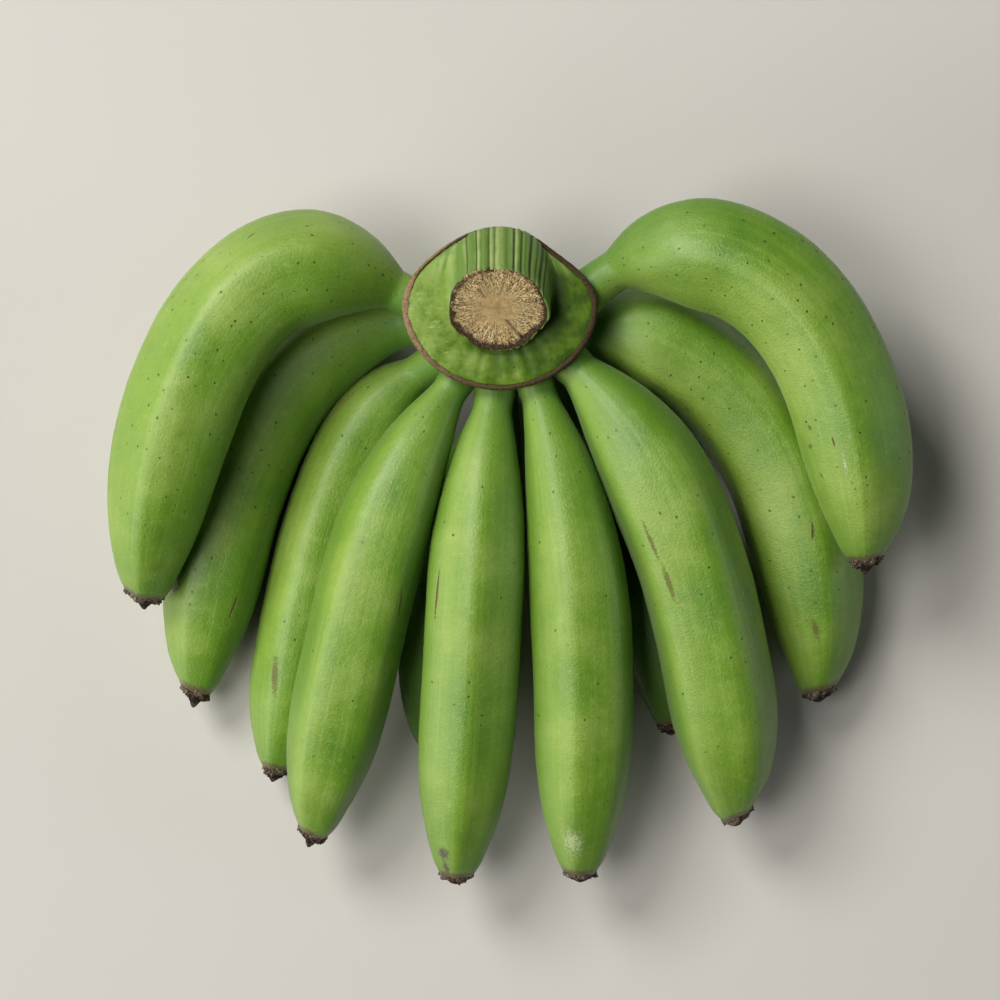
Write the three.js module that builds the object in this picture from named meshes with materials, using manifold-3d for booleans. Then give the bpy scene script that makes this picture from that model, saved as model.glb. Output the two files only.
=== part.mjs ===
// A hand of green bananas, lying on a surface with its front side up.
// Millimetres. X runs across the hand, +Y from the finger tips to the crown, +Z up. It is drawn round the
// crown's axis, and then set with the middle of its bounding box over the origin, on the surface.
import * as THREE from "three";
import { mergeVertices } from "three/addons/utils/BufferGeometryUtils.js";
import Module from "manifold-3d";

const wasm = await Module();
wasm.setup();
const { clamp, degToRad, smoothstep } = THREE.MathUtils;

// Gap left between a finger, the crown that carries it and its dry tip.
const GAP = 0.35;

// The crown: a funnel-shaped cushion with a raised bract scar round its rim, and the stalk's cut stub
// leaning out of it towards the fingers.
const CROWN_SIDES = 60;
const STALK_RIBS = 30;
const RIB_DEPTH = 0.35;
const FOOT_RADII = [20, 17.5];
const RIM_RADII = [33.6, 28.2];
const RIM_HEIGHT = 58;
const RIM_THICKNESS = 3.2;
const BEAD_STEP = 1;
const RIM_BACK_TRIM = 0.07;
const RIM_TOP_TRIM = 0.04;
const STUB_RADIUS = 17.2;
const STUB_LEAN = 33;
const CUT_CENTRE = new THREE.Vector3(0, -0.8, 71.5);
const CUT_CHAMFER = 0.9;
const RIM_FOLDS = 15;
const FOLD_DEPTH = 0.8;

// The crown's flank from the lower cut face up to the rim: a height, the share of the way from the foot's
// radii to the rim's, the depth of the ribs and the trim behind, both as shares of their full values.
const FLANK = [
  { height: 0.9, share: 0, ribs: 1, trim: 0 },
  { height: 12, share: 0.12, ribs: 1, trim: 0 },
  { height: 24, share: 0.36, ribs: 0.6, trim: 0 },
  { height: 36, share: 0.66, ribs: 0, trim: 0.5 },
  { height: 47, share: 0.9, ribs: 0, trim: 1 },
];

// The fingers: angled tubes that leave a slim neck, swell to a belly and taper to a blunt end.
const SIDES_PER_ANGLE = 4;
const FINGER_RINGS = 19;
const RING_CROWDING = 0.09;
const ANGLE_SWELL = 0.03;
const RIDGE_HEIGHT = 0.022;
const RIDGE_SHARPNESS = 6;
const SWELL_START = 1.1;
const SWELL_END = 2.2;
const TAPER_POWER = 2.5;

// Where a row of fingers leaves the crown: the height of its roots, how far out they lie as a share of the
// rim, and the two heights its centrelines are drawn through, given in finger diameters where it lies down.
const FRONT_ROW = { root: 45, reach: 0.72, heights: () => [51, 52] };
const OUTER_ROW = { root: 45, reach: 0.72, heights: () => [51, 65] };
const LOWER_ROW = { root: 33, reach: 0.7, heights: (thick) => [0.5 * thick, 0.52 * thick] };
const BACK_ROW = { root: 19, reach: 0.6, heights: (thick) => [0.5 * thick, 0.49 * thick] };

// One entry a finger. root is the bearing of its root round the crown, launch the bearing and length of its
// first stretch, arrive those of its last one, all seen from above; a bearing of 270 runs along -Y.
// thick is its diameter, and slim and blunt are the shares of it that the neck and the end have. neck,
// shoulder and belly are the shares of its length where the slim neck ends, where the finger is full and
// where it starts to taper. angles is the number of its ridges, roll the turn of the first of them from the
// top, and nub the length of its dry style.
const FINGERS = [
  { name: "left_1", row: OUTER_ROW, root: 175, launch: [150, 74],
    tip: [-127.1, -100.4, 33], arrive: [260.5, 85.5],
    thick: 42, slim: 0.385, neck: 0.09, shoulder: 0.26, belly: 0.575, blunt: 0.39,
    angles: 5, roll: -16, nub: 3.5 },
  { name: "left_2", row: LOWER_ROW, root: 192.5, launch: [189, 48],
    tip: [-108.7, -134.9, 16], arrive: [263, 99.5],
    thick: 34.8, slim: 0.375, neck: 0.105, shoulder: 0.61, belly: 0.675, blunt: 0.33,
    angles: 5, roll: -28, nub: 3 },
  { name: "left_3", row: LOWER_ROW, root: 229, launch: [204.5, 42],
    tip: [-80.4, -163.2, 13], arrive: [261, 102.5],
    thick: 28.1, slim: 0.415, neck: 0.11, shoulder: 0.275, belly: 0.75, blunt: 0.355,
    angles: 5, roll: -20, nub: 1.5 },
  { name: "left_4", row: FRONT_ROW, root: 245, launch: [235, 55],
    tip: [-66.3, -185.6, 26], arrive: [257, 104],
    thick: 34.5, slim: 0.35, neck: 0.075, shoulder: 0.455, belly: 0.69, blunt: 0.36,
    angles: 5, roll: -32, nub: 3 },
  { name: "centre_left", row: FRONT_ROW, root: 269, launch: [262.5, 69],
    tip: [-15.4, -198.8, 27], arrive: [265, 102.5],
    thick: 34.8, slim: 0.385, neck: 0.085, shoulder: 0.475, belly: 0.665, blunt: 0.39,
    angles: 6, roll: -3, nub: 1 },
  { name: "centre_right", row: FRONT_ROW, root: 294, launch: [286.5, 44.5],
    tip: [28.3, -198.1, 27], arrive: [267.5, 108.5],
    thick: 35.1, slim: 0.355, neck: 0.075, shoulder: 0.535, belly: 0.655, blunt: 0.375,
    angles: 6, roll: -6, nub: 1 },
  { name: "right_3", row: FRONT_ROW, root: 318, launch: [323, 48],
    tip: [84, -179.1, 26], arrive: [277, 95],
    thick: 36.6, slim: 0.37, neck: 0.07, shoulder: 0.41, belly: 0.725, blunt: 0.345,
    angles: 5, roll: 30, nub: 1.5 },
  { name: "right_2", row: LOWER_ROW, root: 337, launch: [0, 44],
    tip: [113.9, -135.9, 17], arrive: [271.5, 103],
    thick: 39.2, slim: 0.35, neck: 0.07, shoulder: 0.49, belly: 0.63, blunt: 0.33,
    angles: 5, roll: 22, nub: 1 },
  { name: "right_1", row: OUTER_ROW, root: 5, launch: [34, 54],
    tip: [128, -88.1, 43], arrive: [273.5, 116],
    thick: 40.3, slim: 0.385, neck: 0.1, shoulder: 0.25, belly: 0.705, blunt: 0.34,
    angles: 5, roll: -9, nub: 3 },
  { name: "back_left", row: BACK_ROW, root: 276, launch: [257, 44],
    tip: [-24, -155, 12.5], arrive: [277, 44],
    thick: 29.5, slim: 0.395, neck: 0.09, shoulder: 0.4, belly: 0.6, blunt: 0.37,
    angles: 5, roll: -60, nub: 1.5 },
  { name: "back_right", row: BACK_ROW, root: 305, launch: [304, 33],
    tip: [61, -147, 12.5], arrive: [275, 52],
    thick: 29.5, slim: 0.395, neck: 0.09, shoulder: 0.4, belly: 0.6, blunt: 0.37,
    angles: 5, roll: 20, nub: 1 },
];

// Width, length and depth of the ground that takes the resting fingers' flat spots.
const GROUND_SIZE = [400, 400, 40];

// The dry flower remnant on a finger's end: a crumpled ring with a short style in its middle.
const REMNANT_SIDES = 10;
const REMNANT_LOBES = 3;
const REMNANT_RIM = 3.4;
const REMNANT_INSET = 0.2;
const STYLE_FOOT_SHARE = 0.62;
const STYLE_SHARE = 0.24;

const PEEL = new THREE.MeshStandardMaterial({ color: 0x7ba63f, roughness: 0.42, metalness: 0 });
const CROWN_SKIN = new THREE.MeshStandardMaterial({ color: 0x6f9a48, roughness: 0.6, metalness: 0 });
const DRY_TISSUE = new THREE.MeshStandardMaterial({ color: 0x55453a, roughness: 0.9, metalness: 0 });

/** A closed body through rings of points, the first and last of which are closed by a fan round a centre. */
function loft(rings, startCentre, endCentre) {
  const sides = rings[0].length;
  const points = [...rings.flat(), startCentre, endCentre];
  const start = points.length - 2;
  const end = points.length - 1;
  const last = (rings.length - 1) * sides;
  const index = [];
  for (let i = 0; i < sides; i++) {
    const j = (i + 1) % sides;
    index.push(start, j, i, end, last + i, last + j);
    for (let k = 0; k < last; k += sides) {
      index.push(k + i, k + j, k + sides + i, k + j, k + sides + j, k + sides + i);
    }
  }
  return new THREE.BufferGeometry().setFromPoints(points).setIndex(index);
}

function toSolid(geometry) {
  const merged = mergeVertices(geometry, 1e-4);
  const vertProperties = merged.attributes.position.array;
  const triVerts = new Uint32Array(merged.index.array);
  return new wasm.Manifold(new wasm.Mesh({ numProp: 3, vertProperties, triVerts }));
}

function toGeometry(solid) {
  const mesh = solid.getMesh();
  const geometry = new THREE.BufferGeometry();
  geometry.setAttribute("position", new THREE.BufferAttribute(mesh.vertProperties, 3));
  geometry.setIndex(new THREE.BufferAttribute(mesh.triVerts, 1));
  geometry.computeVertexNormals();
  return geometry;
}

/** One ring of the crown: an oval round a centre, tipped towards -Y, with its share of ribs or folds. */
function crownRing({ y = 0, z, radii, lean = 0, ribs = 0, folds = 0, trim = 0 }, grow) {
  const across = new THREE.Vector3(0, Math.cos(degToRad(lean)), Math.sin(degToRad(lean)));
  return Array.from({ length: CROWN_SIDES }, (_, i) => {
    const angle = (2 * Math.PI * i) / CROWN_SIDES;
    const front = smoothstep(-Math.sin(angle), 0.2, 0.9);
    const back = angle < Math.PI ? Math.sin(2 * angle) ** 2 : 0;
    const top = Math.max(Math.sin(angle), 0) ** 4;
    const hollow = trim * (RIM_BACK_TRIM * back + RIM_TOP_TRIM * top);
    const rib = 1 - hollow + (ribs * RIB_DEPTH * Math.cos(STALK_RIBS * angle)) / STUB_RADIUS;
    const lift = folds * front * FOLD_DEPTH * Math.cos(RIM_FOLDS * angle);
    return new THREE.Vector3((radii[0] + grow) * rib * Math.cos(angle), y, z + lift)
      .addScaledVector(across, (radii[1] + grow) * rib * Math.sin(angle));
  });
}

function crownGeometry(grow = 0) {
  const stubAxis = new THREE.Vector3(0, -Math.sin(degToRad(STUB_LEAN)), Math.cos(degToRad(STUB_LEAN)));
  const stub = (behind, radius, ribs) => {
    const centre = CUT_CENTRE.clone().addScaledVector(stubAxis, -behind);
    return { y: centre.y, z: centre.z, radii: [radius, radius], lean: STUB_LEAN, ribs };
  };
  const flank = ({ height, share, ribs, trim }) => {
    const radii = FOOT_RADII.map((foot, i) => foot + (RIM_RADII[i] - BEAD_STEP - foot) * share);
    return { z: height, radii, ribs, trim };
  };
  const bead = (depth, inset) => {
    const radii = RIM_RADII.map((radius) => radius - inset);
    return { z: RIM_HEIGHT - depth * RIM_THICKNESS, radii, folds: 0.5, trim: 1 };
  };
  const rings = [
    { z: 0, radii: FOOT_RADII.map((radius) => radius - CUT_CHAMFER) },
    ...FLANK.map(flank),
    // The bract scar, which stands out as a round bead.
    bead(1, BEAD_STEP),
    bead(0.75, 0),
    bead(0.2, 0),
    bead(0, BEAD_STEP),
    // The collar inside it, its folds, and the valley round the stub.
    { y: 1.6, z: RIM_HEIGHT, radii: [29.2, 25.6], folds: 1, trim: 1 },
    { y: 4.2, z: RIM_HEIGHT, radii: [25, 23], folds: 1 },
    { y: 6.8, z: RIM_HEIGHT - 1.6, radii: [20.2, 20.6], lean: 4, ribs: 0.6 },
    // The ribbed stub up to its cut face.
    stub(6.5, STUB_RADIUS, 1.3),
    stub(CUT_CHAMFER, STUB_RADIUS, 1.3),
    stub(0, STUB_RADIUS - CUT_CHAMFER, 0.6),
  ].map((ring) => crownRing(ring, grow));
  return loft(rings, new THREE.Vector3(0, 0, 0), CUT_CENTRE.clone());
}

function onBearing(bearing, length) {
  const turn = degToRad(bearing);
  return new THREE.Vector3(Math.cos(turn), Math.sin(turn), 0).multiplyScalar(length);
}

function fingerCurve({ row, root, launch, tip, arrive, thick }) {
  const [launchHeight, bodyHeight] = row.heights(thick);
  const start = onBearing(root, 1).multiply(new THREE.Vector3(...RIM_RADII, 0)).multiplyScalar(row.reach);
  const end = new THREE.Vector3(...tip);
  const curve = new THREE.CubicBezierCurve3(
    start.clone().setZ(row.root),
    start.clone().add(onBearing(...launch)).setZ(launchHeight),
    end.clone().sub(onBearing(...arrive)).setZ(bodyHeight),
    end,
  );
  curve.arcLengthDivisions = 400;
  return curve;
}

function fingerRadius({ thick, slim, neck, shoulder, belly, blunt }, share) {
  const rise = clamp((share - neck) / (shoulder - neck), 0, 1);
  const fall = clamp((share - belly) / (1 - belly), 0, 1);
  const swell = slim + (1 - slim) * (1 - (1 - rise ** SWELL_START) ** SWELL_END);
  return (thick / 2) * swell * (1 - (1 - blunt) * fall ** TAPER_POWER);
}

/** How far the skin stands out at a turn round the finger, as a share of its radius. */
function fingerSection({ angles, roll }, turn) {
  const wave = Math.cos(angles * (turn - degToRad(roll)));
  return 1 - RIDGE_HEIGHT + ANGLE_SWELL * wave + RIDGE_HEIGHT * Math.exp(RIDGE_SHARPNESS * (wave - 1));
}

/** The finger's frame at a share of its length: its centre, its heading, its side and its top. */
function fingerFrame(curve, share) {
  const heading = curve.getTangentAt(share);
  const side = new THREE.Vector3(0, 0, 1).cross(heading).normalize();
  return { centre: curve.getPointAt(share), heading, side, top: heading.clone().cross(side) };
}

/** The point at a turn from the top, a distance out from the finger's centreline. */
function aroundFinger(centre, side, top, turn, out) {
  return centre
    .clone()
    .addScaledVector(side, out * Math.sin(turn))
    .addScaledVector(top, out * Math.cos(turn));
}

function fingerGeometry(spec) {
  const curve = fingerCurve(spec);
  const sides = SIDES_PER_ANGLE * spec.angles;
  const rings = [];
  for (let k = 0; k < FINGER_RINGS; k++) {
    const t = k / (FINGER_RINGS - 1);
    // Rings stand closer together towards both ends, where the thickness changes most.
    const share = t - RING_CROWDING * Math.sin(2 * Math.PI * t);
    const { centre, side, top } = fingerFrame(curve, share);
    const radius = fingerRadius(spec, share);
    rings.push(Array.from({ length: sides }, (_, i) => {
      const turn = (2 * Math.PI * i) / sides + degToRad(spec.roll);
      const out = radius * fingerSection(spec, turn);
      return aroundFinger(centre, side, top, turn, out);
    }));
  }
  return loft(rings.map((ring) => ring.reverse()), curve.getPointAt(0), curve.getPointAt(1));
}

function remnantGeometry(spec) {
  const { centre, heading, side, top } = fingerFrame(fingerCurve(spec), 1);
  const radius = fingerRadius(spec, 1);
  const along = (distance) => centre.clone().addScaledVector(heading, GAP + distance);
  const rings = [
    { out: 0, radius: radius - 2 * REMNANT_INSET, lobes: 0.05 },
    { out: 0.45 * REMNANT_RIM, radius: radius - REMNANT_INSET, lobes: 0.12 },
    { out: REMNANT_RIM, radius: STYLE_FOOT_SHARE * radius, lobes: 0.2 },
    { out: REMNANT_RIM + 0.5 * spec.nub, radius: STYLE_SHARE * radius, lobes: 0.1 },
  ].map((ring) =>
    Array.from({ length: REMNANT_SIDES }, (_, i) => {
      const turn = (2 * Math.PI * i) / REMNANT_SIDES;
      const out = ring.radius * (1 + ring.lobes * Math.cos(REMNANT_LOBES * turn + degToRad(spec.root)));
      return aroundFinger(along(ring.out), side, top, turn, out);
    }).reverse());
  return loft(rings, along(0), along(REMNANT_RIM + spec.nub));
}

/** The ground below the surface that the hand lies on, which leaves a resting finger its small flat spot. */
function underSurface() {
  const [, length, depth] = GROUND_SIZE;
  const slab = new THREE.BoxGeometry(...GROUND_SIZE).translate(0, -length / 4, -depth / 2);
  slab.deleteAttribute("normal");
  slab.deleteAttribute("uv");
  return toSolid(slab);
}

function named(name, geometry, material) {
  const mesh = new THREE.Mesh(geometry, material.clone());
  mesh.name = name;
  return mesh;
}

const hand = new THREE.Group();
hand.name = "banana_hand";
hand.add(named("crown", toGeometry(toSolid(crownGeometry())), CROWN_SKIN));
const socket = toSolid(crownGeometry(GAP)).add(underSurface());
for (const spec of FINGERS) {
  const finger = toSolid(fingerGeometry(spec)).subtract(socket);
  hand.add(named("finger_" + spec.name, toGeometry(finger), PEEL));
  hand.add(named("tip_" + spec.name, remnantGeometry(spec), DRY_TISSUE));
}
const middle = new THREE.Box3().setFromObject(hand, true).getCenter(new THREE.Vector3());
hand.position.set(-middle.x, -middle.y, 0);

export default hand;
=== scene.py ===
"""Looks for a hand of green bananas: finer fingers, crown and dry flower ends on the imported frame."""

import logging
import math
from dataclasses import dataclass, field
from enum import Enum

import bpy
import numpy as np
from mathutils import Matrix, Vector, noise


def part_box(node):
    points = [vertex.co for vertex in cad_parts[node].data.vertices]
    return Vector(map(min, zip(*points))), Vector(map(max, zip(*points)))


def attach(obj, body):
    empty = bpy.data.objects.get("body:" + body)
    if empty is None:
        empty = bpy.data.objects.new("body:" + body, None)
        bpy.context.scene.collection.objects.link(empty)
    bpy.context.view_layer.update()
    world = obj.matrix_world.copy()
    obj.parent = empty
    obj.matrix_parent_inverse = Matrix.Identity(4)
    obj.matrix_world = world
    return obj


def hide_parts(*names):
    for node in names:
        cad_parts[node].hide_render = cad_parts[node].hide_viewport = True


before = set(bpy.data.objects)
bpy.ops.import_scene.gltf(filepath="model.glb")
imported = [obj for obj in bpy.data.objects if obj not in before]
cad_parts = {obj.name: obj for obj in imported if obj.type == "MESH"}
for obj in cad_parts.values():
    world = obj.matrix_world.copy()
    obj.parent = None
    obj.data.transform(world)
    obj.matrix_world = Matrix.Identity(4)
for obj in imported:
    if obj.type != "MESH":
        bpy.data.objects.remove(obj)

log = logging.getLogger("banana_hand")

MM = 0.001
BODY = "root"

# Half the width and half the depth of the crown's rim, in millimetres
RIM = (33.6, 28.2)
# The faint pale bloom on all green skin
SHEEN_TINT = (0.86, 0.95, 0.78, 1.0)

Colour = tuple[float, float, float]
Array = np.ndarray


def srgb(red: int, green: int, blue: int) -> Colour:
    """A linear colour from screen values.

    Args:
        red: Red, 0 to 255.
        green: Green, 0 to 255.
        blue: Blue, 0 to 255.

    Returns:
        The colour as linear red, green and blue.
    """
    shares = [value / 255 for value in (red, green, blue)]
    linear = [s / 12.92 if s <= 0.04045 else ((s + 0.055) / 1.055) ** 2.4 for s in shares]
    return (linear[0], linear[1], linear[2])


def smooth(value: Array, low: float, high: float) -> Array:
    """A soft step.

    Args:
        value: The values to judge.
        low: Where the step starts.
        high: Where it ends.

    Returns:
        0 at low, 1 at high, and an even curve between them.
    """
    share = np.clip((value - low) / (high - low), 0, 1)
    return share * share * (3 - 2 * share)


def grain(points: Array, scale: float, seed: float) -> Array:
    """Even noise at each point.

    Args:
        points: Positions, one a row.
        scale: Waves a unit of length.
        seed: Moves the noise, so that no two pieces share it.

    Returns:
        Noise from about -1 to 1, one value a point.
    """
    shift = Vector((seed * 3.17, seed * 1.71, seed * 2.33))
    return np.array([noise.noise(Vector(point) * scale + shift) for point in points])


def on_circle(angle: Array) -> Array:
    """Points on a circle of radius 1, one a row, for noise that closes round a piece."""
    return np.column_stack([np.cos(angle), np.sin(angle), np.zeros(len(angle))])


# Shader building


class Socket:
    """A shader socket whose arithmetic adds Math nodes."""

    def __init__(self, shader: "Shader", socket: bpy.types.NodeSocket) -> None:
        """Keeps the socket and the shader that it belongs to."""
        self.shader = shader
        self.socket = socket

    def math(self, operation: str, other: "Socket | float" = 0.0, swap: bool = False) -> "Socket":
        """One Math node.

        Args:
            operation: Blender's name of the operation.
            other: The second value.
            swap: Whether the second value comes first.

        Returns:
            The node's result.
        """
        first, second = (other, self) if swap else (self, other)
        return self.shader.out("ShaderNodeMath", {"operation": operation}, {0: first, 1: second})

    def __add__(self, other: "Socket | float") -> "Socket":
        """The sum."""
        return self.math("ADD", other)

    __radd__ = __add__

    def __sub__(self, other: "Socket | float") -> "Socket":
        """The difference."""
        return self.math("SUBTRACT", other)

    def __rsub__(self, other: float) -> "Socket":
        """The difference from a number."""
        return self.math("SUBTRACT", other, swap=True)

    def __mul__(self, other: "Socket | float") -> "Socket":
        """The product."""
        return self.math("MULTIPLY", other)

    __rmul__ = __mul__

    def __truediv__(self, other: "Socket | float") -> "Socket":
        """The quotient."""
        return self.math("DIVIDE", other)

    def __pow__(self, other: float) -> "Socket":
        """The power."""
        return self.math("POWER", other)

    def larger(self, other: "Socket | float") -> "Socket":
        """The larger of the two."""
        return self.math("MAXIMUM", other)

    def step(self, low: float, high: float) -> "Socket":
        """A soft step from 0 at low to 1 at high, falling where low is the larger."""
        return self.shader.out(
            "ShaderNodeMapRange",
            {"interpolation_type": "SMOOTHSTEP"},
            {"Value": self, "From Min": low, "From Max": high},
        )


class Shader:
    """A material under construction."""

    def __init__(self, name: str) -> None:
        """Starts an empty material of that name."""
        self.material = bpy.data.materials.new(name)
        self.material.use_nodes = True
        self.tree = self.material.node_tree
        self.tree.nodes.clear()

    def node(
        self,
        kind: str,
        settings: dict[str, object] | None = None,
        inputs: dict[int | str, object] | None = None,
    ) -> bpy.types.Node:
        """Adds a node.

        Args:
            kind: Blender's node type.
            settings: The node's own settings; stops are a ramp's places and colours.
            inputs: Values or links by input name or index.

        Returns:
            The node.
        """
        node = self.tree.nodes.new(kind)
        for key, value in (settings or {}).items():
            if key == "stops":
                self._set_stops(node.color_ramp, value)
            else:
                setattr(node, key, value)
        for key, value in (inputs or {}).items():
            if isinstance(value, Socket):
                self.tree.links.new(value.socket, node.inputs[key])
            else:
                node.inputs[key].default_value = value
        return node

    @staticmethod
    def _set_stops(ramp: bpy.types.ColorRamp, stops: list[tuple[float, Colour]]) -> None:
        """Gives a ramp its places and colours."""
        while len(ramp.elements) < len(stops):
            ramp.elements.new(1.0)
        for element, (place, colour) in zip(ramp.elements, stops):
            element.position = place
            element.color = (*colour, 1.0)

    def out(
        self,
        kind: str,
        settings: dict[str, object] | None = None,
        inputs: dict[int | str, object] | None = None,
        output: int | str = 0,
    ) -> Socket:
        """Adds a node and gives one of its outputs."""
        return Socket(self, self.node(kind, settings, inputs).outputs[output])

    def place(self) -> Socket:
        """The point on the piece, in metres."""
        return self.out("ShaderNodeTexCoord", output="Object")

    def attribute(self, name: str) -> Socket:
        """A vector stored on the piece's own mesh."""
        return self.out("ShaderNodeAttribute", {"attribute_name": name}, output="Vector")

    def split(self, vector: Socket) -> tuple[Socket, Socket, Socket]:
        """A vector's three parts."""
        node = self.node("ShaderNodeSeparateXYZ", inputs={0: vector})
        x, y, z = (Socket(self, node.outputs[k]) for k in range(3))
        return x, y, z

    def vector(self, x: Socket | float, y: Socket | float, z: Socket | float) -> Socket:
        """A vector from three parts."""
        return self.out("ShaderNodeCombineXYZ", inputs={0: x, 1: y, 2: z})

    def noise(self, vector: Socket, scale: float, detail: float = 2.0, rough: float = 0.5) -> Socket:
        """Cloudy noise, about 0.5 on average."""
        inputs = {"Vector": vector, "Scale": scale, "Detail": detail, "Roughness": rough}
        return self.out("ShaderNodeTexNoise", inputs=inputs)

    def cells(self, vector: Socket, scale: float, space: str = "2D") -> tuple[Socket, Socket]:
        """Scattered points: the distance to the nearest, and a value of its own for each."""
        settings = {"voronoi_dimensions": space, "feature": "F1"}
        node = self.node("ShaderNodeTexVoronoi", settings, {"Vector": vector, "Scale": scale})
        own, _, _ = self.split(Socket(self, node.outputs["Color"]))
        return Socket(self, node.outputs["Distance"]), own

    def mix(self, share: Socket, first: Socket | Colour, second: Socket | Colour) -> Socket:
        """Blends two colours.

        Args:
            share: How much of the second shows.
            first: The colour below.
            second: The colour on top.

        Returns:
            The blended colour.
        """
        colours = [c if isinstance(c, Socket) else (*c, 1.0) for c in (first, second)]
        settings = {"data_type": "RGBA", "blend_type": "MIX", "clamp_factor": True}
        return self.out("ShaderNodeMix", settings, {0: share, 6: colours[0], 7: colours[1]}, output=2)

    def ramp(self, share: Socket, stops: list[tuple[float, Colour]]) -> Socket:
        """A colour that runs through stops."""
        return self.out("ShaderNodeValToRGB", {"stops": stops}, {0: share})

    def bump(self, height: Socket, depth: float) -> Socket:
        """A normal for a relief.

        Args:
            height: The relief, 0 to 1.
            depth: What 1 stands for, in metres.

        Returns:
            The normal.
        """
        inputs = {"Strength": 1.0, "Distance": depth, "Height": height}
        return self.out("ShaderNodeBump", inputs=inputs)

    def surface(self, **inputs: object) -> bpy.types.Material:
        """Closes the material with a Principled shader.

        Args:
            inputs: Its inputs, with underscores for the spaces in their names.

        Returns:
            The material.
        """
        named = {key.replace("_", " "): value for key, value in inputs.items()}
        if "Specular IOR Level" not in named:
            named["Specular IOR Level"] = 0.5
        shader = self.out("ShaderNodeBsdfPrincipled", inputs=named)
        self.node("ShaderNodeOutputMaterial", inputs={"Surface": shader})
        return self.material


# Mesh building


def tube(name: str, sides: int, rings: int) -> bpy.types.Object:
    """A closed straight tube of many rings, ready to be shaped.

    Args:
        name: The piece's name.
        sides: Corners in a ring.
        rings: Rings along it.

    Returns:
        The piece, of radius 1, from z -0.5 to 0.5.
    """
    bpy.ops.object.select_all(action="DESELECT")
    bpy.ops.mesh.primitive_cylinder_add(vertices=sides, radius=1, depth=1, end_fill_type="NGON")
    piece = bpy.context.object
    piece.name = name
    mesh = piece.data
    mesh.name = name
    bpy.ops.object.mode_set(mode="EDIT")
    bpy.ops.mesh.select_mode(type="EDGE")
    bpy.ops.mesh.select_all(action="DESELECT")
    bpy.ops.object.mode_set(mode="OBJECT")
    for edge in mesh.edges:
        low, high = (mesh.vertices[i].co.z for i in edge.vertices)
        edge.select = abs(high - low) > 0.5
    bpy.ops.object.mode_set(mode="EDIT")
    bpy.ops.mesh.subdivide(number_cuts=rings - 2)
    bpy.ops.mesh.select_all(action="DESELECT")
    bpy.ops.object.mode_set(mode="OBJECT")
    return piece


def corners(piece: bpy.types.Object) -> Array:
    """The piece's vertices, one a row."""
    flat = np.empty(len(piece.data.vertices) * 3)
    piece.data.vertices.foreach_get("co", flat)
    return flat.reshape(-1, 3)


def shape(piece: bpy.types.Object, points: Array, middle: Array) -> None:
    """Puts the piece's vertices in place, none below the floor, and turns its faces outwards.

    Args:
        piece: The piece.
        points: Where each vertex goes, in millimetres from the crown's axis.
        middle: The crown's axis in the frame, in metres.
    """
    points[:, 2] = np.maximum(points[:, 2], 0)
    piece.data.vertices.foreach_set("co", (points * MM + middle).ravel())
    piece.data.update()
    bpy.ops.object.select_all(action="DESELECT")
    piece.select_set(True)
    bpy.context.view_layer.objects.active = piece
    bpy.ops.object.mode_set(mode="EDIT")
    bpy.ops.mesh.select_all(action="SELECT")
    bpy.ops.mesh.normals_make_consistent(inside=False)
    bpy.ops.mesh.select_all(action="DESELECT")
    bpy.ops.object.mode_set(mode="OBJECT")
    bpy.ops.object.shade_smooth()


def mark_mesh(piece: bpy.types.Object, name: str, *columns: Array) -> None:
    """Stores three values a vertex on the piece's mesh, for its material to read."""
    layer = piece.data.attributes.new(name, "FLOAT_VECTOR", "POINT")
    layer.data.foreach_set("vector", np.column_stack(columns).astype(np.float32).ravel())


def hand_over(piece: bpy.types.Object, node: str, material: bpy.types.Material) -> None:
    """Dresses a piece and lets it stand for a solid of the frame.

    Args:
        piece: The piece.
        node: The solid's name.
        material: The finish.
    """
    piece.data.materials.clear()
    piece.data.materials.append(material)
    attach(piece, BODY)
    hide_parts(node)
    log.info("%s: %d faces", piece.name, len(piece.data.polygons))


# Finishes


@dataclass(frozen=True)
class Stain:
    """The look of a mark: its colour, how soft its edge is, how much it covers and how ragged it is."""

    colour: Colour
    edge: float
    cover: float
    ragged: float


class Tone(Enum):
    """The kinds of mark on the peel."""

    SCAR = Stain(srgb(98, 88, 34), edge=0.6, cover=0.8, ragged=2.2)
    LINE = Stain(srgb(88, 62, 24), edge=0.35, cover=0.95, ragged=0.8)
    SCUFF = Stain(srgb(126, 108, 52), edge=0.9, cover=0.6, ragged=3.0)
    SCAB = Stain(srgb(84, 76, 66), edge=0.5, cover=0.95, ragged=3.2)
    PALE = Stain(srgb(196, 208, 160), edge=0.9, cover=0.6, ragged=4.5)
    SPOT = Stain(srgb(58, 62, 22), edge=0.4, cover=0.95, ragged=0.4)


@dataclass(frozen=True)
class Mark:
    """A mark on a finger, from one place to another, and its width in millimetres.

    A place is a share of the finger's length and a turn from its top in degrees.
    """

    start: tuple[float, float]
    end: tuple[float, float]
    width: float
    tone: Tone


@dataclass(frozen=True)
class Skin:
    """A point of a finger in its shader: sine and cosine of its turn, share of the length, and place."""

    across: Socket
    up: Socket
    share: Socket
    place: Socket


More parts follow.
